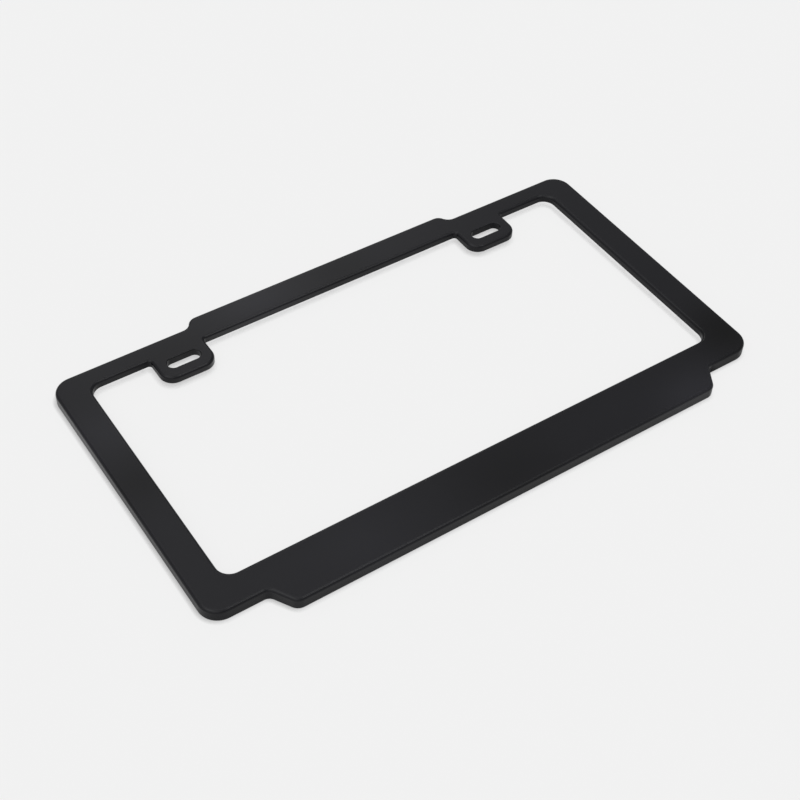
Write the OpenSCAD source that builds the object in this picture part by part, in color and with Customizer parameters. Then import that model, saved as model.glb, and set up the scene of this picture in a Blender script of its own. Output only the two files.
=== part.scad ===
// Number plate holder: a one-piece moulded frame that lies face up on its rim.
// X runs along the plate, Y from its lower to its upper edge, Z out of its face.
// The origin is at the middle of the underside of the overall box.

/* [Frame] */
// Width of the frame
frame_w = 311.2; // [280:0.1:360]
// Height of the frame at its corners
frame_h = 160.1; // [140:0.1:200]
// Thickness from the rim's foot to the face
frame_t = 6.5; // [5.5:0.1:9]
// Outer corner radius
corner_r = 10; // [7:0.5:14]
// Round along every edge of the face
edge_r = 1.5; // [0.6:0.1:2]

/* [Bars] */
// Height of the top bar beside its raised middle
top_bar = 10.6; // [9:0.1:20]
// Width of the side bars
side_bar = 16; // [12:0.1:24]
// Height of the bottom bar beside its dropped middle
bottom_bar = 15.7; // [12:0.1:24]
// Upper corner radius of the opening
opening_top_r = 6.5; // [3:0.1:10]
// Lower corner radius of the opening
opening_bottom_r = 7; // [3:0.1:10]

/* [Raised and dropped middles] */
// Height of the raised middle above the top edge
rise_h = 5.45; // [3:0.05:12]
// Length of the raised middle at half its height
rise_w = 156.4; // [100:0.1:220]
// Bend radius where a slope leaves the top edge
rise_inner_r = 5.5; // [3:0.1:8]
// Bend radius where a slope meets the raised edge
rise_outer_r = 5.5; // [5:0.1:8]
// Angle between the upper slopes and the edges
rise_angle = 59; // [45:1:75]
// Depth of the dropped middle below the bottom edge
drop_h = 12.3; // [6:0.1:20]
// Length of the dropped middle at half its depth
drop_w = 245.1; // [160:0.1:260]
// Bend radius where a slope leaves the bottom edge
drop_inner_r = 4.1; // [2:0.1:6]
// Bend radius where a slope meets the dropped edge
drop_outer_r = 5.6; // [5:0.1:8]
// Angle between the lower slopes and the edges
drop_angle = 59; // [45:1:75]

/* [Tabs and bolt slots] */
// Distance between the middles of the two slots
slot_spacing = 183.6; // [160:0.1:220]
// Length of a slot
slot_l = 17.9; // [8:0.1:20]
// Width of a slot
slot_w = 6.6; // [4:0.1:9]
// Distance from the opening's upper edge down to the slots' centre line
slot_drop = 7.5; // [5:0.1:10]
// Width of a tab
tab_w = 29.4; // [24:0.1:40]
// Height of a tab below the opening's upper edge
tab_h = 17.2; // [14:0.1:24]
// Lower corner radius of a tab
tab_r = 7.3; // [5:0.1:9]
// Radius where a tab leaves the top bar
tab_root_r = 1.7; // [0.5:0.1:4]
// Round along the upper edge of a slot
slot_edge_r = 0.5; // [0.2:0.1:1]

/* [Back] */
// Wall of the rim that stands round the plate
rim_t = 2.2; // [1.6:0.1:3]
// Depth of the seat that takes the plate
seat_h = 2.3; // [1:0.1:3]
// Wall of the face above the hollow back
face_t = 2.4; // [2.1:0.1:3]
// Wall of the lip round the opening
lip_t = 1.8; // [1.2:0.1:3]
// Thickness of the ribs across the hollow back
rib_t = 1.2; // [0.8:0.1:3]
// Distance between the ribs
rib_pitch = 22; // [15:1:60]

/* [Hidden] */
$fn = 96;

moulded_black = [0.11, 0.11, 0.12];

// Widths of the swept edge bands and of their overlap with the face's middle
band_w = 4;
band_lap = 1;
// Lap of the ribs and pads into the face
face_lap = 0.5;
// Places are kept to a thousandth of a millimetre
grid = 0.001;
// Angle of one chord where a bend is covered by a band
chord_angle = 30;

overall_h = frame_h + rise_h + drop_h;
half_w = frame_w / 2;
raised_y = overall_h / 2;
top_y = raised_y - rise_h;
dropped_y = -overall_h / 2;
bottom_y = dropped_y + drop_h;
opening_x = half_w - side_bar;
opening_top_y = top_y - top_bar;
opening_bottom_y = bottom_y + bottom_bar;
tab_x = slot_spacing / 2;
slot_y = opening_top_y - slot_drop;
face_under_z = frame_t - face_t;

function snap(v) = round(v / grid) * grid;

// A bend is [x, y, radius, side]: the side is 1 where the edge turns left round
// the centre, and -1 where it turns right. The material is on the left.
function bend(x, y, radius, side) = [snap(x), snap(y), radius, side];

function left_right(bends) = concat(
    bends,
    [for (i = [len(bends) - 1:-1:0]) [-bends[i].x, bends[i].y, bends[i][2], bends[i][3]]]
);

// Half the run that a slope takes from its middle to the centre of its bend
function slope_run(height, angle, radius) = height / 2 / tan(angle) + radius * tan(angle / 2);

// The share of its two radii that a slope has room for
function room_share(height, angle, radii) = min(1, 0.99 * height / (1 - cos(angle)) / radii);

rise_share = room_share(rise_h, rise_angle, rise_inner_r + rise_outer_r);
rise_in_r = rise_inner_r * rise_share;
rise_out_r = rise_outer_r * rise_share;
rise_in_x = rise_w / 2 + slope_run(rise_h, rise_angle, rise_in_r);
rise_out_x = rise_w / 2 - slope_run(rise_h, rise_angle, rise_out_r);

drop_share = room_share(drop_h, drop_angle, drop_inner_r + drop_outer_r);
drop_in_r = drop_inner_r * drop_share;
drop_out_r = drop_outer_r * drop_share;
drop_in_x = drop_w / 2 + slope_run(drop_h, drop_angle, drop_in_r);
drop_out_x = drop_w / 2 - slope_run(drop_h, drop_angle, drop_out_r);

// Right half of the outer edge, from the bottom up, and its mirror image
outer_bends = left_right([
    bend(drop_out_x, dropped_y + drop_out_r, drop_out_r, 1),
    bend(drop_in_x, bottom_y - drop_in_r, drop_in_r, -1),
    bend(half_w - corner_r, bottom_y + corner_r, corner_r, 1),
    bend(half_w - corner_r, top_y - corner_r, corner_r, 1),
    bend(rise_in_x, top_y + rise_in_r, rise_in_r, -1),
    bend(rise_out_x, raised_y - rise_out_r, rise_out_r, 1),
]);

// Right half of the opening's edge, from the top down, with the tab
opening_bends = left_right([
    bend(tab_x - tab_w / 2 - tab_root_r, opening_top_y - tab_root_r, tab_root_r, -1),
    bend(tab_x - tab_w / 2 + tab_r, opening_top_y - tab_h + tab_r, tab_r, 1),
    bend(tab_x + tab_w / 2 - tab_r, opening_top_y - tab_h + tab_r, tab_r, 1),
    bend(tab_x + tab_w / 2 + tab_root_r, opening_top_y - tab_root_r, tab_root_r, -1),
    bend(opening_x - opening_top_r, opening_top_y - opening_top_r, opening_top_r, -1),
    bend(opening_x - opening_bottom_r, opening_bottom_y + opening_bottom_r, opening_bottom_r, -1),
]);

// A slot's edge, from its left end to its right end and back
function slot_bends(side) = [
    for (end = [-1, 1]) bend(side * tab_x + end * (slot_l - slot_w) / 2, slot_y, slot_w / 2, -1)
];

function next_of(bends, i) = bends[(i + 1) % len(bends)];
function last_of(bends, i) = bends[(i + len(bends) - 1) % len(bends)];

function gap_of(a, b) = norm([b.x - a.x, b.y - a.y]);
function reach_of(a, b) = b[3] * b[2] - a[3] * a[2];

// Heading and length of the straight edge from one bend to the next
function heading(a, b) = atan2(b.y - a.y, b.x - a.x) - asin(reach_of(a, b) / gap_of(a, b));
function straight(a, b) = sqrt(gap_of(a, b) ^ 2 - reach_of(a, b) ^ 2);

function turn_at(bends, i) =
    let (change = heading(bends[i], next_of(bends, i)) - heading(last_of(bends, i), bends[i]))
    abs((change + 540) % 360 - 180);

// Points along an edge, moved into the material, with a chord for each part of a bend
function moved_in(bends, depth) = [
    for (i = [0:len(bends) - 1])
        let (
            b = bends[i],
            from = heading(last_of(bends, i), b) - b[3] * 90,
            turn = turn_at(bends, i),
            steps = ceil(turn / chord_angle),
            radius = max(b[2] - b[3] * depth, 0)
        )
        for (k = [0:steps])
            let (a = from + b[3] * turn * k / steps)
            [b.x + radius * cos(a), b.y + radius * sin(a)]
];

// Section of the wall along an edge: x runs in from the edge, y runs up
module wall_section(wall, foot_z, round_r, width) {
    difference() {
        union() {
            translate([0, foot_z]) square([wall, frame_t - foot_z]);
            translate([0, face_under_z]) square([width, face_t]);
        }
        translate([0, frame_t - round_r]) difference() {
            square(round_r);
            translate([round_r, 0]) circle(round_r);
        }
    }
}

// Sweeps its section along the straight edge that leaves a bend
module along_straight(bends, i) {
    b = bends[i];
    toward = next_of(bends, i);
    translate([b.x, b.y, 0])
        rotate(heading(b, toward))
        translate([0, -b[3] * b[2], 0])
        rotate([90, 0, 90])
        linear_extrude(straight(b, toward))
        children();
}

// Sweeps its section round a bend
module around_bend(bends, i) {
    b = bends[i];
    come = heading(last_of(bends, i), b);
    turn = turn_at(bends, i);
    translate([b.x, b.y, 0])
        rotate(b[3] > 0 ? come - 90 : come + 90 - turn)
        rotate_extrude(angle = turn)
        translate([b[2], 0])
        mirror([b[3] > 0 ? 1 : 0, 0])
        children();
}

// The wall and the rounded edge of the face along one closed edge
module edge_band(bends, wall, foot_z, round_r) {
    for (i = [0:len(bends) - 1]) {
        along_straight(bends, i) wall_section(wall, foot_z, round_r, band_w);
        around_bend(bends, i)
            wall_section(wall, foot_z, round_r, bends[i][3] > 0 ? min(band_w, bends[i][2]) : band_w);
    }
}

// The plan of the material, moved in from each of its edges
module plan(rim_depth, lip_depth) {
    difference() {
        polygon(moved_in(outer_bends, rim_depth));
        polygon(moved_in(opening_bends, lip_depth));
        for (side = [-1, 1]) polygon(moved_in(slot_bends(side), lip_depth));
    }
}

// The flat middle of the face, between the edge bands
module face_middle() {
    depth = band_w - band_lap;
    translate([0, 0, face_under_z]) linear_extrude(face_t) plan(depth, depth);
}

// What stands down from the face to the plate's seat
module seat_extrude() {
    translate([0, 0, seat_h]) linear_extrude(face_under_z + face_lap - seat_h) children();
}

// The solid middle of a tab, which the bolt clamps
module tab_pad(side) {
    seat_extrude() intersection() {
        plan(rim_t / 2, lip_t / 2);
        translate([side * tab_x - tab_w / 2, opening_top_y - tab_h]) square([tab_w, tab_h + lip_t]);
    }
}

// Ribs across the bars, between the rim and the lip
module ribs() {
    across = floor((opening_x - opening_top_r) / rib_pitch);
    along = floor(((opening_top_y - opening_bottom_y) / 2 - opening_bottom_r) / rib_pitch);
    opening_middle_y = (opening_top_y + opening_bottom_y) / 2;
    seat_extrude() intersection() {
        plan(rim_t / 2, lip_t / 2);
        union() {
            for (k = [-across:across])
                translate([k * rib_pitch - rib_t / 2, dropped_y]) square([rib_t, overall_h]);
            for (k = [-along:along])
                translate([-half_w, opening_middle_y + k * rib_pitch - rib_t / 2]) square([frame_w, rib_t]);
        }
    }
}

module plate_frame() {
    color(moulded_black) {
        edge_band(outer_bends, rim_t, 0, edge_r);
        edge_band(opening_bends, lip_t, seat_h, edge_r);
        face_middle();
        ribs();
        for (side = [-1, 1]) {
            edge_band(slot_bends(side), lip_t, seat_h, slot_edge_r);
            tab_pad(side);
        }
    }
}

plate_frame();
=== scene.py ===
"""Looks of a moulded number plate holder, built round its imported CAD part.

The holder is one moulding that lies face up on its rim. It is modelled in millimetres,
with X along the plate, Y from its lower to its upper edge and Z out of its face, and is
brought to metres when it is finished.
"""

import logging
import math
from collections.abc import Callable
from dataclasses import dataclass, field
from enum import Enum
from itertools import pairwise

import bmesh
import bpy
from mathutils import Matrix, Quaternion, Vector


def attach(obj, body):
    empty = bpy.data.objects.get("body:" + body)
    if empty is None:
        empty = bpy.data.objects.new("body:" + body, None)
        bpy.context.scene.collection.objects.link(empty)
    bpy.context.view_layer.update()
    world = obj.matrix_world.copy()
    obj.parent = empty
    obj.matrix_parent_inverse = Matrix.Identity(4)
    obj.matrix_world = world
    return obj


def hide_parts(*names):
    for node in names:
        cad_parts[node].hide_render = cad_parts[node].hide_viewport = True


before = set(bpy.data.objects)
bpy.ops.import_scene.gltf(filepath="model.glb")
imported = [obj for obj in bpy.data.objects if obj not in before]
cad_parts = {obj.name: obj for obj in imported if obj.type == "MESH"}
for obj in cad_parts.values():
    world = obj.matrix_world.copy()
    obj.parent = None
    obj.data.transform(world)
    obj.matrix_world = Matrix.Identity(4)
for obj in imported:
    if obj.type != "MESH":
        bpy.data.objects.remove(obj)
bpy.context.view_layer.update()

log = logging.getLogger("plate_holder")

MM = 0.001
# Points nearer than this, in millimetres, count as one
NEAR = 0.002
# Small step that keeps two faces out of one plane, in millimetres
SKIM = 0.02

Input = bpy.types.NodeSocket | float | tuple[float, float, float] | Vector


class Side(Enum):
    """Side on which an edge turns, with the material on its left."""

    LEFT = 1
    RIGHT = -1


class Element(Enum):
    """Kind of mesh element that a selection is made of."""

    VERT = "VERT"
    EDGE = "EDGE"
    FACE = "FACE"


class Join(Enum):
    """How a tool changes a closed piece."""

    ADD = "UNION"
    CUT = "DIFFERENCE"


class Bench:
    """Modelling steps that the pieces share, done with Blender's own operators."""

    @staticmethod
    def make_active(piece: bpy.types.Object) -> None:
        """Selects one object alone and makes it the active one.

        Args:
            piece: Object to select.
        """
        bpy.ops.object.select_all(action="DESELECT")
        piece.select_set(True)
        bpy.context.view_layer.objects.active = piece

    @staticmethod
    def edit(piece: bpy.types.Object) -> None:
        """Takes one object into edit mode."""
        Bench.make_active(piece)
        bpy.ops.object.mode_set(mode="EDIT")

    @staticmethod
    def done() -> None:
        """Leaves edit mode."""
        bpy.ops.object.mode_set(mode="OBJECT")

    @staticmethod
    def place(piece: bpy.types.Object) -> None:
        """Puts the object's place, turn and scale into its mesh."""
        Bench.make_active(piece)
        bpy.ops.object.transform_apply(location=True, rotation=True, scale=True)

    @staticmethod
    def apply(piece: bpy.types.Object, modifier: bpy.types.Modifier) -> None:
        """Applies one modifier to its object."""
        Bench.make_active(piece)
        bpy.ops.object.modifier_apply(modifier=modifier.name)

    @staticmethod
    def copy_of(pattern: bpy.types.Object) -> bpy.types.Object:
        """Copies an object with a mesh of its own.

        Args:
            pattern: Object to copy.

        Returns:
            The copy, in the scene.
        """
        copy = pattern.copy()
        copy.data = pattern.data.copy()
        bpy.context.scene.collection.objects.link(copy)
        return copy

    @staticmethod
    def pick(piece: bpy.types.Object, kind: Element, test: Callable[[Vector], bool]) -> None:
        """Selects the elements whose middle passes a test, and nothing else.

        Args:
            piece: Object in edit mode.
            kind: Kind of element to select.
            test: Says whether a middle point is wanted.
        """
        bpy.ops.mesh.select_mode(type=kind.value)
        bpy.ops.mesh.select_all(action="DESELECT")
        mesh = bmesh.from_edit_mesh(piece.data)
        if kind is Element.VERT:
            found = [vert for vert in mesh.verts if test(vert.co)]
        elif kind is Element.EDGE:
            found = [edge for edge in mesh.edges if test((edge.verts[0].co + edge.verts[1].co) / 2)]
        else:
            found = [face for face in mesh.faces if test(face.calc_center_median())]
        for element in found:
            element.select_set(True)
        mesh.select_flush_mode()
        bmesh.update_edit_mesh(piece.data)

    @staticmethod
    def pick_border(piece: bpy.types.Object, height: float) -> None:
        """Selects the open border at one height.

        Args:
            piece: Object in edit mode.
            height: Height of the border.
        """
        bpy.ops.mesh.select_mode(type="EDGE")
        bpy.ops.mesh.select_all(action="DESELECT")
        mesh = bmesh.from_edit_mesh(piece.data)
        for edge in mesh.edges:
            level = all(abs(vert.co.z - height) < NEAR for vert in edge.verts)
            edge.select_set(level and edge.is_boundary)
        bmesh.update_edit_mesh(piece.data)

    @staticmethod
    def merge_doubles() -> None:
        """Merges the doubles of the whole mesh in edit mode."""
        bpy.ops.mesh.select_all(action="SELECT")
        bpy.ops.mesh.remove_doubles(threshold=NEAR / 2)

    @staticmethod
    def close() -> None:
        """Merges doubles, turns all faces outwards and leaves edit mode."""
        Bench.merge_doubles()
        bpy.ops.mesh.normals_make_consistent(inside=False)
        Bench.done()

    @staticmethod
    def draw_line(name: str, points: list[Vector]) -> bpy.types.Object:
        """Draws an open line by extruding one point.

        Args:
            name: Name of the object.
            points: Points of the line, in order.

        Returns:
            The object, which holds the line's edges.
        """
        # The plane shrinks to the first point, so its size is of no account
        bpy.ops.mesh.primitive_plane_add(size=0.1, location=points[0])
        piece = bpy.context.object
        piece.name = name
        Bench.place(piece)
        Bench.edit(piece)
        bpy.ops.mesh.select_mode(type="VERT")
        bpy.ops.mesh.select_all(action="SELECT")
        bpy.ops.mesh.merge(type="CENTER")
        for here, there in pairwise(points):
            bpy.ops.mesh.extrude_vertices_move(TRANSFORM_OT_translate={"value": there - here})
        Bench.done()
        return piece

    @staticmethod
    def join(pieces: list[bpy.types.Object]) -> bpy.types.Object:
        """Joins objects into the first of them.

        Args:
            pieces: Objects to join.

        Returns:
            The first object, which now holds all the meshes.
        """
        Bench.make_active(pieces[0])
        for piece in pieces[1:]:
            piece.select_set(True)
        bpy.ops.object.join()
        return pieces[0]

    @staticmethod
    def combine(piece: bpy.types.Object, tool: bpy.types.Object, how: Join) -> None:
        """Adds a closed tool to a closed piece, or cuts it away, and removes the tool.

        Args:
            piece: Object that is changed.
            tool: Object that is added or cut away.
            how: What the tool does to the piece.
        """
        modifier = piece.modifiers.new(how.value.lower(), "BOOLEAN")
        modifier.operation = how.value
        modifier.solver = "EXACT"
        modifier.object = tool
        Bench.apply(piece, modifier)
        bpy.data.objects.remove(tool)


@dataclass(frozen=True)
class Bend:
    """One bend of an edge, in millimetres."""

    x: float
    y: float
    radius: float
    side: Side

    @property
    def centre(self) -> Vector:
        """Centre of the bend on the ground."""
        return Vector((self.x, self.y, 0.0))

    def mirrored(self) -> "Bend":
        """The same bend on the other side of the middle."""
        return Bend(-self.x, self.y, self.radius, self.side)


@dataclass(frozen=True)
class EdgeLine:
    """A closed edge: bends joined by straight tangents, with the material on the left."""

    bends: tuple[Bend, ...]

    @classmethod
    def left_and_right(cls, right_half: list[Bend]) -> "EdgeLine":
        """Makes the whole edge from its right half.

        Args:
            right_half: Bends of the half on +X, in the order of travel.

        Returns:
            The closed edge, with the mirrored half after the given one.
        """
        return cls(tuple(right_half + [bend.mirrored() for bend in reversed(right_half)]))

    def bend(self, index: int) -> Bend:
        """Bend at an index that wraps round."""
        return self.bends[index % len(self.bends)]

    def gap_and_reach(self, index: int) -> tuple[Vector, float]:
        """Centre-to-centre vector from a bend to the next, and how far the straight leans.

        Args:
            index: Number of the first bend.

        Returns:
            The vector between the centres, and the difference of the signed radii.
        """
        here = self.bend(index)
        there = self.bend(index + 1)
        reach = there.side.value * there.radius - here.side.value * here.radius
        return there.centre - here.centre, reach

    def heading(self, index: int) -> float:
        """Heading of the straight that leaves a bend, in radians from +X."""
        gap, reach = self.gap_and_reach(index)
        return math.atan2(gap.y, gap.x) - math.asin(reach / gap.length)

    def run(self, index: int) -> Vector:
        """Works out the straight that leaves a bend.

        Args:
            index: Number of the bend.

        Returns:
            The vector along the straight.
        """
        gap, reach = self.gap_and_reach(index)
        heading = self.heading(index)
        length = math.sqrt(gap.length_squared - reach * reach)
        return Vector((math.cos(heading), math.sin(heading), 0.0)) * length

    def start(self, index: int) -> Vector:
        """Works out where the straight leaves a bend.

        Args:
            index: Number of the bend.

        Returns:
            The point on the ground.
        """
        here = self.bend(index)
        heading = self.heading(index)
        outward = Vector((math.sin(heading), -math.cos(heading), 0.0))
        return here.centre + outward * here.side.value * here.radius

    def turn(self, index: int) -> float:
        """Signed angle that the edge turns through at a bend, in radians."""
        change = self.heading(index) - self.heading(index - 1)
        return (change + math.pi) % math.tau - math.pi


@dataclass(frozen=True)
class Corner:
    """One corner of a section, sharp where its radius is nought, in millimetres."""

    x: float
    z: float
    radius: float = 0.0
    steps: int = 4

    def is_at(self, point: Vector) -> bool:
        """Says whether a point of the section is this corner."""
        return abs(point.x - self.x) < NEAR and abs(point.z - self.z) < NEAR


@dataclass(frozen=True)
class Section:
    """An open section line. X runs from an edge into the material, and Z runs up."""

    corners: tuple[Corner, ...]

    def draw(self, name: str) -> bpy.types.Object:
        """Draws the line at the origin and rounds its corners with a bevel of each vertex.

        Args:
            name: Name of the object.

        Returns:
            The object, which holds edges and no face.
        """
        piece = Bench.draw_line(name, [Vector((corner.x, 0.0, corner.z)) for corner in self.corners])
        Bench.edit(piece)
        for corner in self.corners:
            if corner.radius > 0.0:
                Bench.pick(piece, Element.VERT, corner.is_at)
                bpy.ops.mesh.bevel(
                    offset=corner.radius, segments=corner.steps, profile=0.5, affect="VERTICES"
                )
        Bench.merge_doubles()
        Bench.done()
        return piece


@dataclass(frozen=True)
class SweptEdge:
    """A section swept along one closed edge."""

    name: str
    line: EdgeLine
    section: Section
    step_angle: float = math.radians(7.5)

    def build(self) -> bpy.types.Object:
        """Sweeps the section along each straight and round each bend.

        Returns:
            A ring with an open border at each end of the section.
        """
        piece = self.section.draw(self.name)
        piece.rotation_euler.z = self.line.heading(0) + math.pi / 2
        piece.location = self.line.start(0)
        Bench.place(piece)
        Bench.edit(piece)
        bpy.ops.mesh.select_mode(type="EDGE")
        bpy.ops.mesh.select_all(action="SELECT")
        for index in range(len(self.line.bends)):
            bpy.ops.mesh.extrude_edges_move(TRANSFORM_OT_translate={"value": self.line.run(index)})
            turn = self.line.turn(index + 1)
            # Spin counts its angle clockwise, seen from above
            bpy.ops.mesh.spin(
                steps=max(2, math.ceil(abs(turn) / self.step_angle)),
                angle=-turn,
                center=self.line.bend(index + 1).centre,
                axis=(0.0, 0.0, 1.0),
            )
        Bench.merge_doubles()
        Bench.done()
        return piece


@dataclass(frozen=True)
class FrameShell:
    """The rim, the face and the lip of the frame, in millimetres.

    Each strip is the part of the face that is swept with its wall, and the rest is spanned.
    """

    width: float = 311.2
    height: float = 160.1
    thickness: float = 6.5
    corner_radius: float = 10.0
    top_bar: float = 10.6
    side_bar: float = 16.0
    bottom_bar: float = 15.7
    opening_top_radius: float = 6.5
    opening_bottom_radius: float = 7.0
    rise: float = 5.45
    rise_width: float = 156.4
    rise_inner_radius: float = 5.5
    rise_outer_radius: float = 5.5
    rise_angle: float = math.radians(59)
    drop: float = 12.3
    drop_width: float = 245.1
    drop_inner_radius: float = 4.1
    drop_outer_radius: float = 5.6
    drop_angle: float = math.radians(59)
    edge_round: float = 1.5
    edge_steps: int = 12
    rim_wall: float = 2.2
    rim_strip: float = 3.4
    lip_wall: float = 1.8
    lip_strip: float = 3.0
    face_wall: float = 2.4
    seat_z: float = 2.3
    foot_round: float = 0.35
    foot_steps: int = 6
    root_fillet: float = 0.5
    tab_spacing: float = 183.6
    tab_width: float = 29.4
    tab_height: float = 17.2
    tab_radius: float = 7.3
    tab_root_radius: float = 1.7

    @property
    def raised_y(self) -> float:
        """Upper edge of the raised middle."""
        return (self.height + self.rise + self.drop) / 2

    @property
    def top_y(self) -> float:
        """Upper edge beside the raised middle."""
        return self.raised_y - self.rise

    @property
    def bottom_y(self) -> float:
        """Lower edge beside the dropped middle."""
        return self.drop - self.raised_y

    @property
    def opening_top_y(self) -> float:
        """Upper edge of the opening."""
        return self.top_y - self.top_bar

    @property
    def opening_bottom_y(self) -> float:
        """Lower edge of the opening."""
        return self.bottom_y + self.bottom_bar

    @property
    def half_width(self) -> float:
        """Half the width of the frame."""
        return self.width / 2

    @property
    def opening_x(self) -> float:
        """Half the width of the opening."""
        return self.half_width - self.side_bar

    @property
    def under_z(self) -> float:
        """Underside of the face."""
        return self.thickness - self.face_wall

    def outer_line(self) -> EdgeLine:
        """Draws the outer edge of the frame, from the bottom up.

        Returns:
            The closed edge.
        """

        def slope_run(height: float, angle: float, radius: float) -> float:
            """Run from the middle of a slope to the centre of its bend."""
            return height / 2 / math.tan(angle) + radius * math.tan(angle / 2)

        drop_low, drop_high = self.drop_outer_radius, self.drop_inner_radius
        rise_low, rise_high = self.rise_inner_radius, self.rise_outer_radius
        drop_low_x = self.drop_width / 2 - slope_run(self.drop, self.drop_angle, drop_low)
        drop_high_x = self.drop_width / 2 + slope_run(self.drop, self.drop_angle, drop_high)
        rise_low_x = self.rise_width / 2 + slope_run(self.rise, self.rise_angle, rise_low)
        rise_high_x = self.rise_width / 2 - slope_run(self.rise, self.rise_angle, rise_high)
        corner = self.corner_radius
        return EdgeLine.left_and_right(
            [
                Bend(drop_low_x, drop_low - self.raised_y, drop_low, Side.LEFT),
                Bend(drop_high_x, self.bottom_y - drop_high, drop_high, Side.RIGHT),
                Bend(self.half_width - corner, self.bottom_y + corner, corner, Side.LEFT),
                Bend(self.half_width - corner, self.top_y - corner, corner, Side.LEFT),
                Bend(rise_low_x, self.top_y + rise_low, rise_low, Side.RIGHT),
                Bend(rise_high_x, self.raised_y - rise_high, rise_high, Side.LEFT),
            ]
        )

    def opening_line(self) -> EdgeLine:
        """Draws the edge of the opening with both tabs, from the top down.

        Returns:
            The closed edge.
        """
        tab_x = self.tab_spacing / 2
        reach = self.tab_width / 2
        root = self.tab_root_radius
        nose = self.tab_radius
        nose_y = self.opening_top_y - self.tab_height + nose
        upper = self.opening_top_radius
        lower = self.opening_bottom_radius
        return EdgeLine.left_and_right(
            [
                Bend(tab_x - reach - root, self.opening_top_y - root, root, Side.RIGHT),
                Bend(tab_x - reach + nose, nose_y, nose, Side.LEFT),
                Bend(tab_x + reach - nose, nose_y, nose, Side.LEFT),
                Bend(tab_x + reach + root, self.opening_top_y - root, root, Side.RIGHT),
                Bend(self.opening_x - upper, self.opening_top_y - upper, upper, Side.RIGHT),
                Bend(self.opening_x - lower, self.opening_bottom_y + lower, lower, Side.RIGHT),
            ]
        )

    def wall_section(self, wall: float, foot_z: float, strip: float) -> Section:
        """Makes the section of a wall, from the face over the edge to the face's underside.

        Args:
            wall: Thickness of the wall.
            foot_z: Height of the wall's foot.
            strip: How far the section reaches into the face.

        Returns:
            The open section line.
        """
        return Section(
            (
                Corner(strip, self.thickness),
                Corner(0.0, self.thickness, self.edge_round, self.edge_steps),
                Corner(0.0, foot_z, self.foot_round, self.foot_steps),
                Corner(wall, foot_z, self.foot_round),
                Corner(wall, self.under_z, self.root_fillet),
                Corner(strip, self.under_z),
            )
        )

    def build(self) -> bpy.types.Object:
        """Sweeps the rim and the lip and spans the face between them.

        Returns:
            The closed shell.
        """
        rim = self.wall_section(self.rim_wall, 0.0, self.rim_strip)
        lip = self.wall_section(self.lip_wall, self.seat_z, self.lip_strip)
        shell = Bench.join(
            [
                SweptEdge("moulded_frame", self.outer_line(), rim).build(),
                SweptEdge("opening_edge", self.opening_line(), lip).build(),
            ]
        )
        Bench.edit(shell)
        for height in (self.thickness, self.under_z):
            Bench.pick_border(shell, height)
            bpy.ops.mesh.fill(use_beauty=True)
        Bench.close()
        return shell


@dataclass(frozen=True)
class BoltTab:
    """The solid middle of a tab, which the bolt clamps, and its slot, in millimetres."""

    shell: FrameShell
    slot_length: float = 17.9
    slot_width: float = 6.6
    slot_drop: float = 7.5
    slot_round: float = 0.5
    slot_steps: int = 6
    pad_steps: int = 10
    foot_steps: int = 3
    lap: float = 0.5

    def build_pad(self, hand: int) -> bpy.types.Object:
        """Fills the hollow under one tab down to the plate's seat.

        Args:
            hand: 1 for the tab on +X and -1 for the other.

        Returns:
            The closed pad, which laps into the lip and the face.
        """
        shell = self.shell
        inset = shell.lip_wall / 2
        low_y = shell.opening_top_y - shell.tab_height + inset
        high_y = shell.opening_top_y + shell.lip_wall
        low_z = shell.seat_z + SKIM
        middle = (hand * shell.tab_spacing / 2, (low_y + high_y) / 2, low_z)
        bpy.ops.mesh.primitive_plane_add(size=1.0, location=middle)
        pad = bpy.context.object
        pad.scale = (shell.tab_width - 2 * inset, high_y - low_y, 1.0)
        Bench.place(pad)
        Bench.edit(pad)
        Bench.pick(pad, Element.VERT, lambda p: p.y < low_y + NEAR)
        nose = shell.tab_radius - inset
        bpy.ops.mesh.bevel(offset=nose, segments=self.pad_steps, affect="VERTICES")
        bpy.ops.mesh.select_all(action="SELECT")
        height = shell.under_z + self.lap - low_z
        bpy.ops.mesh.extrude_region_move(TRANSFORM_OT_translate={"value": (0.0, 0.0, height)})
        Bench.pick(pad, Element.EDGE, lambda p: p.y > high_y - NEAR and p.z < low_z + NEAR)
        bpy.ops.mesh.bevel(offset=shell.foot_round, segments=self.foot_steps, affect="EDGES")
        Bench.close()
        return pad

    def build_slot_tool(self, hand: int) -> bpy.types.Object:
        """Makes the tool that cuts one slot and rounds its edges.

        Args:
            hand: 1 for the tab on +X and -1 for the other.

        Returns:
            The closed tool, which stands proud of the tab on both sides.
        """
        shell = self.shell
        radius = self.slot_width / 2
        reach = (self.slot_length - self.slot_width) / 2
        tab_x = hand * shell.tab_spacing / 2
        slot_y = shell.opening_top_y - self.slot_drop
        line = EdgeLine(
            (
                Bend(tab_x - reach, slot_y, radius, Side.RIGHT),
                Bend(tab_x + reach, slot_y, radius, Side.RIGHT),
            )
        )
        top_z = shell.thickness + self.lap
        low_z = shell.seat_z - self.lap
        section = Section(
            (
                Corner(self.slot_round, top_z),
                Corner(self.slot_round, shell.thickness),
                Corner(0.0, shell.thickness, self.slot_round, self.slot_steps),
                Corner(0.0, shell.seat_z, shell.foot_round),
                Corner(shell.foot_round, shell.seat_z),
                Corner(shell.foot_round, low_z),
            )
        )
        tool = SweptEdge("slot_tool", line, section).build()
        Bench.edit(tool)
        for height in (top_z, low_z):
            Bench.pick_border(tool, height)
            bpy.ops.mesh.edge_face_add()
        Bench.close()
        return tool


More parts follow.
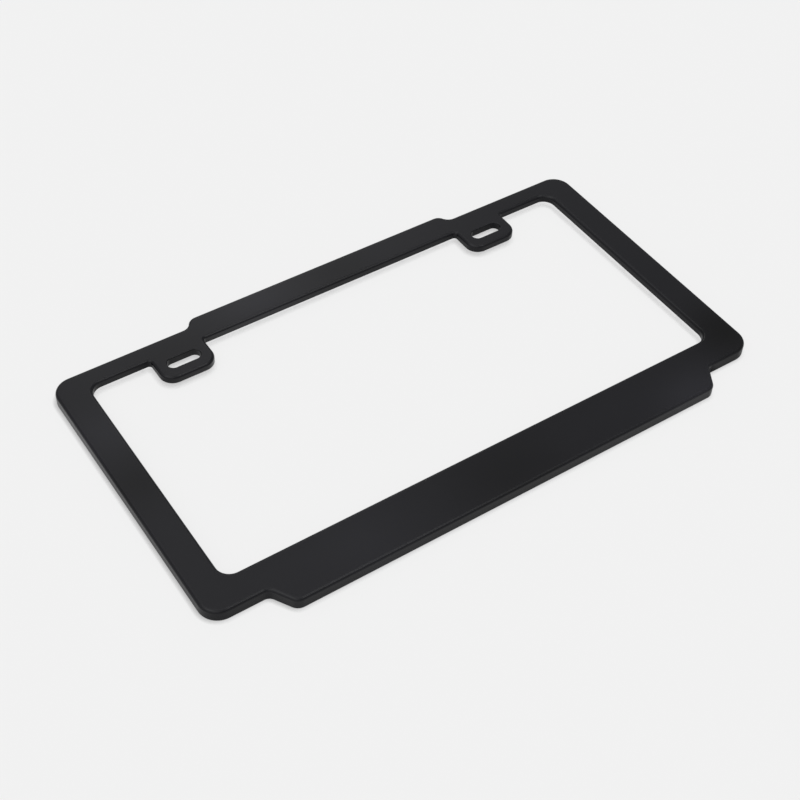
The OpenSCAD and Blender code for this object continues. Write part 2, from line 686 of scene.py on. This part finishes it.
@dataclass(frozen=True)
class BackRibs:
    """Thin ribs across the hollow back, from the rim to the lip, in millimetres."""

    shell: FrameShell
    pitch: float = 22.0
    wall: float = 1.2
    taper: float = 0.05
    root_fillet: float = 0.4
    tip_round: float = 0.25
    tip_steps: int = 3
    lap: float = 0.3

    def spans(self) -> list[tuple[Vector, Vector]]:
        """Finds the start and end of each rib, inside the walls that it joins.

        Returns:
            Pairs of points on the ground.
        """
        shell = self.shell
        rim_in = shell.rim_wall / 2
        lip_in = shell.lip_wall / 2
        found = []
        across = int((shell.opening_x - shell.opening_top_radius) // self.pitch)
        for k in range(-across, across + 1):
            x = k * self.pitch
            outer_top = shell.raised_y if abs(x) < shell.rise_width / 2 else shell.top_y
            outer_bottom = -shell.raised_y if abs(x) < shell.drop_width / 2 else shell.bottom_y
            top = (shell.opening_top_y + lip_in, outer_top - rim_in)
            bottom = (outer_bottom + rim_in, shell.opening_bottom_y - lip_in)
            for low, high in (top, bottom):
                found.append((Vector((x, low, 0.0)), Vector((x, high, 0.0))))
        half = (shell.opening_top_y - shell.opening_bottom_y) / 2
        middle_y = shell.opening_top_y - half
        along = int((half - shell.opening_bottom_radius) // self.pitch)
        for k in range(-along, along + 1):
            y = middle_y + k * self.pitch
            inner_x = shell.opening_x + lip_in
            outer_x = shell.half_width - rim_in
            found.append((Vector((inner_x, y, 0.0)), Vector((outer_x, y, 0.0))))
            found.append((Vector((-outer_x, y, 0.0)), Vector((-inner_x, y, 0.0))))
        return found

    def build(self) -> bpy.types.Object:
        """Models one rib of a millimetre, copies it to each span and joins the copies.

        Returns:
            The closed ribs.
        """
        pattern = self._pattern()
        ribs = []
        for start, end in self.spans():
            rib = Bench.copy_of(pattern)
            run = end - start
            rib.location = start
            rib.rotation_euler.z = math.atan2(run.y, run.x) - math.pi / 2
            rib.scale = (1.0, run.length, 1.0)
            Bench.place(rib)
            ribs.append(rib)
        bpy.data.objects.remove(pattern)
        log.info("back has %d ribs", len(ribs))
        return Bench.join(ribs)

    def _pattern(self) -> bpy.types.Object:
        """Models one rib, a millimetre long towards +Y.

        Returns:
            The closed rib.
        """
        under = self.shell.under_z - SKIM / 2
        top = self.shell.under_z + self.lap
        root_x = self.wall / 2 + self.root_fillet
        tip_x = self.wall / 2 - self.taper
        right = [
            Corner(root_x, top),
            Corner(root_x, under),
            Corner(self.wall / 2, under, self.root_fillet),
            Corner(tip_x, self.shell.seat_z + 2 * SKIM, self.tip_round, self.tip_steps),
        ]
        left = [Corner(-corner.x, corner.z, corner.radius, corner.steps) for corner in reversed(right)]
        rib = Section(tuple(right + left)).draw("rib")
        Bench.edit(rib)
        bpy.ops.mesh.select_all(action="SELECT")
        bpy.ops.mesh.edge_face_add()
        bpy.ops.mesh.extrude_region_move(TRANSFORM_OT_translate={"value": (0.0, 1.0, 0.0)})
        Bench.close()
        return rib


@dataclass(frozen=True)
class EjectorMarks:
    """Shallow round marks of the mould's ejector pins in the hollow back, in millimetres.

    The stations are counted in pitches of the ribs, so that each mark is halfway between two.
    """

    ribs: BackRibs
    radius: float = 2.5
    facets: int = 40
    depth: float = 0.15
    edge_round: float = 0.05
    edge_steps: int = 2
    pin_height: float = 1.0
    low_stations: tuple[float, ...] = (0.5, 2.5, 4.5)
    high_stations: tuple[float, ...] = (0.5, 2.5)
    side_stations: tuple[float, ...] = (-1.5, 1.5)

    def places(self) -> list[tuple[float, float]]:
        """Finds the middles of the marks.

        Returns:
            Pairs of X and Y.
        """
        shell = self.ribs.shell
        pitch = self.ribs.pitch
        low_y = (shell.rim_wall - shell.raised_y + shell.opening_bottom_y - shell.lip_wall) / 2
        high_y = (shell.opening_top_y + shell.lip_wall + shell.raised_y - shell.rim_wall) / 2
        side_x = (shell.opening_x + shell.lip_wall + shell.half_width - shell.rim_wall) / 2
        middle_y = (shell.opening_top_y + shell.opening_bottom_y) / 2
        found = []
        for hand in (-1, 1):
            found += [(hand * k * pitch, low_y) for k in self.low_stations]
            found += [(hand * k * pitch, high_y) for k in self.high_stations]
            found += [(hand * side_x, middle_y + k * pitch) for k in self.side_stations]
        return found

    def build_tool(self) -> bpy.types.Object:
        """Models one pin, copies it to each place and joins the copies.

        Returns:
            The closed tool that cuts the marks.
        """
        half = self.pin_height / 2
        bpy.ops.mesh.primitive_cylinder_add(
            vertices=self.facets, radius=self.radius, depth=self.pin_height
        )
        pattern = bpy.context.object
        pattern.name = "pin"
        Bench.edit(pattern)
        Bench.pick(pattern, Element.FACE, lambda p: p.z > half - NEAR)
        bpy.ops.mesh.bevel(offset=self.edge_round, segments=self.edge_steps, affect="EDGES")
        Bench.done()
        pins = []
        for x, y in self.places():
            pin = Bench.copy_of(pattern)
            pin.location = (x, y, self.ribs.shell.under_z + self.depth - half)
            Bench.place(pin)
            pins.append(pin)
        bpy.data.objects.remove(pattern)
        return Bench.join(pins)


@dataclass(frozen=True)
class Mixer:
    """Adds the nodes that work out tones and places in one node tree."""

    tree: bpy.types.NodeTree

    def number(self, operation: str, *values: Input) -> bpy.types.NodeSocket:
        """Socket with a number, worked out from sockets or plain numbers."""
        return self._node("ShaderNodeMath", operation, values).outputs["Value"]

    def vector(self, operation: str, *values: Input) -> bpy.types.NodeSocket:
        """Socket with a vector, worked out from sockets or plain vectors."""
        return self._node("ShaderNodeVectorMath", operation, values).outputs["Vector"]

    def dot(self, *values: Input) -> bpy.types.NodeSocket:
        """Socket with the dot product of two vectors."""
        return self._node("ShaderNodeVectorMath", "DOT_PRODUCT", values).outputs["Value"]

    def _node(self, kind: str, operation: str, values: tuple[Input, ...]) -> bpy.types.Node:
        """Adds a node and fills its inputs in their order.

        Args:
            kind: Blender's name of the node.
            operation: Blender's name of what it works out.
            values: Socket to link or plain value for each input.

        Returns:
            The node.
        """
        node = self.tree.nodes.new(kind)
        node.operation = operation
        for socket, value in zip(node.inputs, values):
            if isinstance(value, bpy.types.NodeSocket):
                self.tree.links.new(value, socket)
            else:
                socket.default_value = value
        return node


@dataclass(frozen=True)
class SoftMark:
    """A soft patch, paler or darker than what is round it, in millimetres.

    The patch has its full strength in the middle and about a third of it at its reach.
    """

    x: float
    y: float
    reach_x: float
    reach_y: float
    strength: float

    def add(
        self, mixer: Mixer, place: bpy.types.NodeSocket, tone: bpy.types.NodeSocket
    ) -> bpy.types.NodeSocket:
        """Adds the patch to a tone.

        Args:
            mixer: Mixer of the material.
            place: Socket with the object's coordinates.
            tone: Socket with the tone so far.

        Returns:
            The socket with the new tone.
        """
        steepness = (1.0 / (self.reach_x * MM), 1.0 / (self.reach_y * MM), 0.0)
        shift = (-self.x / self.reach_x, -self.y / self.reach_y, 0.0)
        offset = mixer.vector("MULTIPLY_ADD", place, steepness, shift)
        bell = mixer.number("POWER", math.exp(-1.0), mixer.dot(offset, offset))
        return mixer.number("MULTIPLY_ADD", bell, self.strength, tone)


@dataclass(frozen=True)
class SatinPlastic:
    """Black moulded plastic with a satin face, a very fine grain, smoother edges and painted sheen.

    Sizes are in metres. The noise range is that of the grain and the flow together.
    """

    name: str = "satin_black_plastic"
    colour: tuple[float, float, float] = (0.0089, 0.0089, 0.0111)
    # Paler and darker patches of painted sheen and painted shade in the base colour, in millimetres
    painted_sheen_marks: tuple[SoftMark, ...] = (
        SoftMark(-42.0, 86.0, 20.0, 14.0, 0.75),
        SoftMark(-144.0, 42.0, 20.0, 15.0, 0.5),
        SoftMark(-144.0, 6.0, 20.0, 14.0, -0.45),
        SoftMark(-80.0, -78.0, 32.0, 26.0, 0.35),
        SoftMark(2.0, -78.0, 32.0, 26.0, -0.42),
        SoftMark(110.0, -87.0, 24.0, 14.0, 0.85),
        SoftMark(150.0, -62.0, 20.0, 22.0, -0.8),
        SoftMark(-94.0, 72.0, 26.0, 12.0, -0.35),
        SoftMark(8.0, 80.0, 16.0, 14.0, -0.35),
    )
    flow_spread: float = 0.16
    flow_size: float = 0.03
    flow_detail: float = 2.0
    grain_size: float = 0.00045
    grain_detail: float = 3.0
    grain_depth: float = 0.000002
    noise_range: tuple[float, float] = (0.6, 1.4)
    roughness: float = 0.3
    roughness_spread: float = 0.04
    edge_roughness: float = -0.07
    edge_mask: str = "handled_edge"
    specular: float = 0.206

    def make(self) -> bpy.types.Material:
        """Makes the material, which reads object coordinates and the edge mask.

        Returns:
            The material.
        """
        material = bpy.data.materials.new(self.name)
        material.use_nodes = True
        tree = material.node_tree
        mixer = Mixer(tree)
        shader = tree.nodes["Principled BSDF"]
        shader.inputs["Specular IOR Level"].default_value = self.specular
        place = tree.nodes.new("ShaderNodeTexCoord").outputs["Object"]
        grain = self._noise(tree, place, self.grain_size, self.grain_detail)
        flow = self._noise(tree, place, self.flow_size, self.flow_detail)
        bump = tree.nodes.new("ShaderNodeBump")
        bump.inputs["Strength"].default_value = 1.0
        bump.inputs["Distance"].default_value = self.grain_depth
        tree.links.new(grain, bump.inputs["Height"])
        tree.links.new(bump.outputs["Normal"], shader.inputs["Normal"])
        # The tone is uneven all over, and 1 on average
        tone = mixer.number("MULTIPLY_ADD", flow, self.flow_spread, 1.0 - self.flow_spread / 2)
        # The patches add painted highlights and painted shade to the random tone
        for mark in self.painted_sheen_marks:
            tone = mark.add(mixer, place, tone)
        tree.links.new(mixer.vector("MULTIPLY", self.colour, tone), shader.inputs["Base Color"])
        tree.links.new(self._roughness(mixer, grain, flow), shader.inputs["Roughness"])
        return material

    @staticmethod
    def _noise(
        tree: bpy.types.NodeTree, place: bpy.types.NodeSocket, size: float, detail: float
    ) -> bpy.types.NodeSocket:
        """Adds a noise of one size.

        Args:
            tree: Node tree of the material.
            place: Socket with the object's coordinates.
            size: Size of the noise's features.
            detail: Number of finer layers.

        Returns:
            The socket with the noise.
        """
        noise = tree.nodes.new("ShaderNodeTexNoise")
        noise.inputs["Scale"].default_value = 1.0 / size
        noise.inputs["Detail"].default_value = detail
        tree.links.new(place, noise.inputs["Vector"])
        return noise.outputs["Fac"]

    def _roughness(
        self, mixer: Mixer, grain: bpy.types.NodeSocket, flow: bpy.types.NodeSocket
    ) -> bpy.types.NodeSocket:
        """Varies the gloss with the grain and the flow, and raises it along the edges.

        Args:
            mixer: Mixer of the material.
            grain: Socket with the fine noise.
            flow: Socket with the broad noise.

        Returns:
            The socket with the roughness.
        """
        spread = mixer.tree.nodes.new("ShaderNodeMapRange")
        spread.inputs["From Min"].default_value = self.noise_range[0]
        spread.inputs["From Max"].default_value = self.noise_range[1]
        spread.inputs["To Min"].default_value = self.roughness - self.roughness_spread / 2
        spread.inputs["To Max"].default_value = self.roughness + self.roughness_spread / 2
        mixer.tree.links.new(mixer.number("ADD", grain, flow), spread.inputs["Value"])
        edge = mixer.tree.nodes.new("ShaderNodeAttribute")
        edge.attribute_name = self.edge_mask
        mask = edge.outputs["Fac"]
        return mixer.number("MULTIPLY_ADD", mask, self.edge_roughness, spread.outputs["Result"])


@dataclass(frozen=True)
class MouldedFrame:
    """The whole moulding: the shell, the tabs, the ribs and the pin marks.

    The full lean is how far a normal leans where the edge mask reaches 1.
    """

    shell: FrameShell = field(default_factory=FrameShell)
    finish: SatinPlastic = field(default_factory=SatinPlastic)
    smooth_angle: float = math.radians(35)
    flat_weight: int = 100
    full_lean: float = 0.05

    def build(self) -> bpy.types.Object:
        """Models the moulding, dresses it and lets it stand for the CAD node.

        Returns:
            The finished piece, in metres.
        """
        piece = self.shell.build()
        tab = BoltTab(self.shell)
        ribs = BackRibs(self.shell)
        for hand in (-1, 1):
            Bench.combine(piece, tab.build_pad(hand), Join.ADD)
        Bench.combine(piece, ribs.build(), Join.ADD)
        for hand in (-1, 1):
            Bench.combine(piece, tab.build_slot_tool(hand), Join.CUT)
        Bench.combine(piece, EjectorMarks(ribs).build_tool(), Join.CUT)
        piece.scale = (MM, MM, MM)
        Bench.place(piece)
        self._smooth(piece)
        self._mask_edges(piece)
        piece.data.materials.clear()
        piece.data.materials.append(self.finish.make())
        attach(piece, "root")
        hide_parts("plate_frame")
        log.info("moulding has %d faces", len(piece.data.polygons))
        return piece

    def _smooth(self, piece: bpy.types.Object) -> None:
        """Shades the rounds smooth and keeps the flats flat.

        Args:
            piece: The moulding.
        """
        Bench.make_active(piece)
        bpy.ops.object.shade_smooth_by_angle(angle=self.smooth_angle)
        weighted = piece.modifiers.new("flats", "WEIGHTED_NORMAL")
        weighted.keep_sharp = True
        weighted.weight = self.flat_weight
        Bench.apply(piece, weighted)

    def _mask_edges(self, piece: bpy.types.Object) -> None:
        """Marks the upper rounds, which hands and cloths rub smooth.

        Args:
            piece: The moulding, in metres.
        """
        mesh = piece.data
        mask = mesh.attributes.new(self.finish.edge_mask, "FLOAT", "POINT")
        low_z = (self.shell.thickness - self.shell.edge_round) * MM
        for vert, value in zip(mesh.vertices, mask.data):
            lean = 1.0 - vert.normal.z
            value.value = min(1.0, lean / self.full_lean) if vert.co.z > low_z else 0.0


@dataclass(frozen=True)
class SoftLight:
    """One soft light of the surroundings, brightest at its middle.

    Angles are in degrees: the azimuth runs from +Y towards +X, and the spread is the angle
    at which the light has fallen to about a third. A strength below nought is a dark card,
    which takes light away from the fill and the lights round it.
    """

    azimuth: float
    elevation: float
    spread: float
    strength: float

    def axis(self) -> Vector:
        """Works out the direction of the light's middle.

        Returns:
            A vector of length 1.
        """
        azimuth = math.radians(self.azimuth)
        elevation = math.radians(self.elevation)
        level = math.cos(elevation)
        return Vector((math.sin(azimuth) * level, math.cos(azimuth) * level, math.sin(elevation)))

    def add(self, mixer: Mixer, towards: bpy.types.NodeSocket, total: Input) -> bpy.types.NodeSocket:
        """Adds the light to what is lit so far.

        Args:
            mixer: Mixer of the world.
            towards: Socket with the direction that is looked in.
            total: The even fill, or the socket with the sum so far.

        Returns:
            The socket with the new sum.
        """
        steepness = 1.0 / (1.0 - math.cos(math.radians(self.spread)))
        along = mixer.dot(towards, self.axis())
        fall = mixer.number("MULTIPLY_ADD", along, steepness, -steepness)
        return mixer.number("MULTIPLY_ADD", mixer.number("EXPONENT", fall), self.strength, total)


@dataclass(frozen=True)
class FloorPart:
    """Rectangle on the floor, centred across the frame, in millimetres."""

    middle_y: float
    half_x: float
    half_y: float

    def inside(self, mixer: Mixer, place: bpy.types.NodeSocket) -> bpy.types.NodeSocket:
        """Makes a value that is 1 inside the rectangle and 0 elsewhere.

        Args:
            mixer: Mixer of the floor's material.
            place: Socket with the object's coordinates.

        Returns:
            The socket with the value.
        """
        offset = mixer.vector("SUBTRACT", place, (0.0, self.middle_y * MM, 0.0))
        half = (self.half_x * MM, self.half_y * MM, 0.0)
        beyond = mixer.vector("SUBTRACT", mixer.vector("ABSOLUTE", offset), half)
        parts = mixer.tree.nodes.new("ShaderNodeSeparateXYZ")
        mixer.tree.links.new(beyond, parts.inputs["Vector"])
        further = mixer.number("MAXIMUM", parts.outputs["X"], parts.outputs["Y"])
        return mixer.number("LESS_THAN", further, 0.0)


@dataclass(frozen=True)
class Contact:
    """Shading of the floor near what stands on it.

    The reaches are in metres, and the depths are the share of light that a full shade takes.
    The inner ones are for the opening, where the walls end above the floor. The lean points
    towards the side whose walls shade most.
    """

    reach: float
    inner_reach: float
    depth: float
    inner_depth: float
    lean: tuple[float, float, float]
    samples: int = 3

    def brightness(
        self, mixer: Mixer, inside: bpy.types.NodeSocket, full: float
    ) -> bpy.types.NodeSocket:
        """Makes a brightness that falls off near the feet of what stands on the floor.

        Args:
            mixer: Mixer of the floor's material.
            inside: Socket that is 1 inside the opening.
            full: Brightness of the open floor.

        Returns:
            The socket with the brightness.
        """
        lean = mixer.tree.nodes.new("ShaderNodeCombineXYZ")
        for socket, value in zip(lean.inputs, self.lean):
            socket.default_value = value
        near = mixer.tree.nodes.new("ShaderNodeAmbientOcclusion")
        near.samples = self.samples
        mixer.tree.links.new(lean.outputs["Vector"], near.inputs["Normal"])
        reach = mixer.number("MULTIPLY_ADD", inside, self.inner_reach - self.reach, self.reach)
        mixer.tree.links.new(reach, near.inputs["Distance"])
        depth = mixer.number("MULTIPLY_ADD", inside, self.inner_depth - self.depth, self.depth)
        covered = mixer.number("SUBTRACT", 1.0, near.outputs["AO"])
        lost = mixer.number("MULTIPLY", covered, depth)
        return mixer.number("MULTIPLY_ADD", lost, -full, full)


@dataclass(frozen=True)
class Studio:
    """Pale floor, pale surroundings and soft light, with the floor's size and gap in metres.

    The contact shades the floor as it is seen. The mirrored contact, the floor gloss and the
    painted reflection marks show only where the holder mirrors the floor; the marks are patches
    of painted light and painted shade in those reflections. The rectangles on the floor tell
    where the hollow back lies over it.
    """

    floor_size: float = 6.0
    floor_gap: float = 0.00002
    pale: float = 0.8796
    floor_shade: float = 0.08
    open_light: float = 0.95
    floor_gloss: float = 0.85
    contact: Contact = Contact(0.0023, 0.0033, 0.62, 1.0, (0.8, 0.0, 0.6))
    mirrored_contact: Contact = Contact(0.008, 0.008, 0.8, 0.8, (0.0, 0.0, 1.0))
    # Patches of painted light and painted shade on the floor as the holder mirrors it, in millimetres
    painted_reflection_marks: tuple[SoftMark, ...] = (
        SoftMark(-60.0, 62.0, 110.0, 18.0, 0.5),
        SoftMark(-52.0, 64.0, 42.0, 18.0, 0.75),
        SoftMark(-162.0, -70.0, 20.0, 60.0, -0.22),
        SoftMark(150.0, -84.0, 22.0, 12.0, -0.4),
        SoftMark(128.5, -78.5, 4.5, 5.0, -0.7),
        SoftMark(-108.0, 62.5, 6.0, 9.0, -0.95),
    )
    outline: FloorPart = FloorPart(3.5, 152.0, 76.5)
    opening: FloorPart = FloorPart(6.0, 142.0, 69.0)
    dropped_part: FloorPart = FloorPart(-78.0, 117.0, 8.0)
    raised_part: FloorPart = FloorPart(81.0, 71.0, 5.0)
    fill: float = 0.38
    lights: tuple[SoftLight, ...] = (
        SoftLight(0.0, -90.0, 40.0, 2.4),
        SoftLight(93.0, 70.0, 7.0, 4.3),
        SoftLight(25.0, 35.0, 7.0, 2.8),
        SoftLight(-121.0, 45.5, 41.0, 1.19),
        SoftLight(3.0, 67.5, 14.5, 1.53),
        SoftLight(150.0, 54.0, 7.0, 4.1),
        SoftLight(-86.0, 60.0, 13.0, 1.65),
        SoftLight(-168.0, 24.0, 13.0, -0.6),
    )

    def build(self) -> None:
        """Makes the floor and the surroundings."""
        self._floor()
        self._world()

    def _floor(self) -> None:
        """Adds the floor, which shows the pale background and keeps the shadow at the feet."""
        bpy.ops.mesh.primitive_plane_add(size=self.floor_size, location=(0.0, 0.0, -self.floor_gap))
        floor = bpy.context.object
        floor.name = "floor"
        material = bpy.data.materials.new("pale_floor")
        material.use_nodes = True
        nodes = material.node_tree.nodes
        links = material.node_tree.links
        nodes.remove(nodes["Principled BSDF"])
        mixer = Mixer(material.node_tree)
        place = nodes.new("ShaderNodeTexCoord").outputs["Object"]
        rays = nodes.new("ShaderNodeLightPath")
        shade = self.floor_shade
        diffuse = nodes.new("ShaderNodeBsdfDiffuse")
        diffuse.inputs["Color"].default_value = (shade, shade, shade, 1.0)
        glow = nodes.new("ShaderNodeEmission")
        links.new(self._brightness(mixer, place, rays), glow.inputs["Strength"])
        both = nodes.new("ShaderNodeAddShader")
        links.new(diffuse.outputs["BSDF"], both.inputs[0])
        links.new(glow.outputs["Emission"], both.inputs[1])
        shown = nodes.new("ShaderNodeMixShader")
        links.new(self._see_through(mixer, place, rays), shown.inputs["Fac"])
        links.new(both.outputs["Shader"], shown.inputs[1])
        links.new(nodes.new("ShaderNodeBsdfTransparent").outputs["BSDF"], shown.inputs[2])
        links.new(shown.outputs["Shader"], nodes["Material Output"].inputs["Surface"])
        floor.data.materials.append(material)

    def _brightness(
        self, mixer: Mixer, place: bpy.types.NodeSocket, rays: bpy.types.Node
    ) -> bpy.types.NodeSocket:
        """Makes the pale background on the floor, as it is seen and as the object mirrors it.

        Args:
            mixer: Mixer of the floor's material.
            place: Socket with the floor's coordinates.
            rays: Node that tells the kinds of ray apart.

        Returns:
            The socket with the brightness, which lights nothing.
        """
        full = self.pale - self.floor_shade * self.open_light
        inside = self.opening.inside(mixer, place)
        shaded = self.contact.brightness(mixer, inside, full)
        seen = mixer.number("MULTIPLY", shaded, rays.outputs["Is Camera Ray"])
        glossy = rays.outputs["Is Glossy Ray"]
        tone = glossy
        # Patches of painted light and painted shade, which only the holder's reflections of the floor
        # show
        for mark in self.painted_reflection_marks:
            tone = mark.add(mixer, place, tone)
        tone = mixer.number("MULTIPLY", tone, glossy)
        shaded = self.mirrored_contact.brightness(mixer, inside, full * self.floor_gloss)
        return mixer.number("ADD", seen, mixer.number("MULTIPLY", shaded, tone))

    def _see_through(
        self, mixer: Mixer, place: bpy.types.NodeSocket, rays: bpy.types.Node
    ) -> bpy.types.NodeSocket:
        """Opens the floor to views from below, and to the light from below under the hollow back.

        Args:
            mixer: Mixer of the floor's material.
            place: Socket with the floor's coordinates.
            rays: Node that tells the kinds of ray apart.

        Returns:
            The socket that is 1 where the floor is clear.
        """
        outer = self.outline.inside(mixer, place)
        hollow = mixer.number("SUBTRACT", outer, self.opening.inside(mixer, place))
        for part in (self.dropped_part, self.raised_part):
            hollow = mixer.number("MAXIMUM", hollow, part.inside(mixer, place))
        unseen = mixer.number("SUBTRACT", hollow, rays.outputs["Is Camera Ray"])
        geometry = mixer.tree.nodes.new("ShaderNodeNewGeometry")
        return mixer.number("MAXIMUM", unseen, geometry.outputs["Backfacing"])

    def _world(self) -> None:
        """Makes the surroundings: an even fill with the soft lights on it."""
        world = bpy.data.worlds.new("soft_studio")
        bpy.context.scene.world = world
        world.use_nodes = True
        nodes = world.node_tree.nodes
        links = world.node_tree.links
        background = nodes["Background"]
        background.inputs["Color"].default_value = (1.0, 1.0, 1.0, 1.0)
        mixer = Mixer(world.node_tree)
        towards = nodes.new("ShaderNodeTexCoord").outputs["Generated"]
        total = self.fill
        for light in self.lights:
            total = light.add(mixer, towards, total)
        rays = nodes.new("ShaderNodeLightPath")
        choose = nodes.new("ShaderNodeMix")
        choose.data_type = "FLOAT"
        choose.inputs["B"].default_value = self.pale
        links.new(total, choose.inputs["A"])
        links.new(rays.outputs["Is Camera Ray"], choose.inputs["Factor"])
        links.new(choose.outputs["Result"], background.inputs["Strength"])


@dataclass(frozen=True)
class ProductCamera:
    """Camera at the photograph's place and angle, in metres, with its lens in millimetres."""

    eye: tuple[float, float, float] = (-0.295881, -0.404783, 0.522317)
    aim: tuple[float, float, float] = (-0.013609, -0.009475, 0.0)
    roll: float = math.radians(2.5561)
    lens: float = 65.7806
    sensor: float = 36.0

    def build(self) -> None:
        """Makes the camera and sets it as the scene's own."""
        data = bpy.data.cameras.new("camera")
        data.lens = self.lens
        data.sensor_width = self.sensor
        camera = bpy.data.objects.new("camera", data)
        camera.location = self.eye
        camera.rotation_mode = "QUATERNION"
        level = (Vector(self.aim) - Vector(self.eye)).to_track_quat("-Z", "Y")
        camera.rotation_quaternion = level @ Quaternion((0.0, 0.0, 1.0), self.roll)
        bpy.context.scene.collection.objects.link(camera)
        bpy.context.scene.camera = camera


def main() -> None:
    """Builds the camera, the studio and the holder in order."""
    logging.basicConfig(level=logging.INFO, format="%(name)s: %(message)s")
    bpy.ops.object.select_all(action="DESELECT")
    ProductCamera().build()
    Studio().build()
    log.info("camera and studio are set")
    MouldedFrame().build()
    bpy.context.scene.view_settings.view_transform = "Standard"


if __name__ == "__main__":
    main()
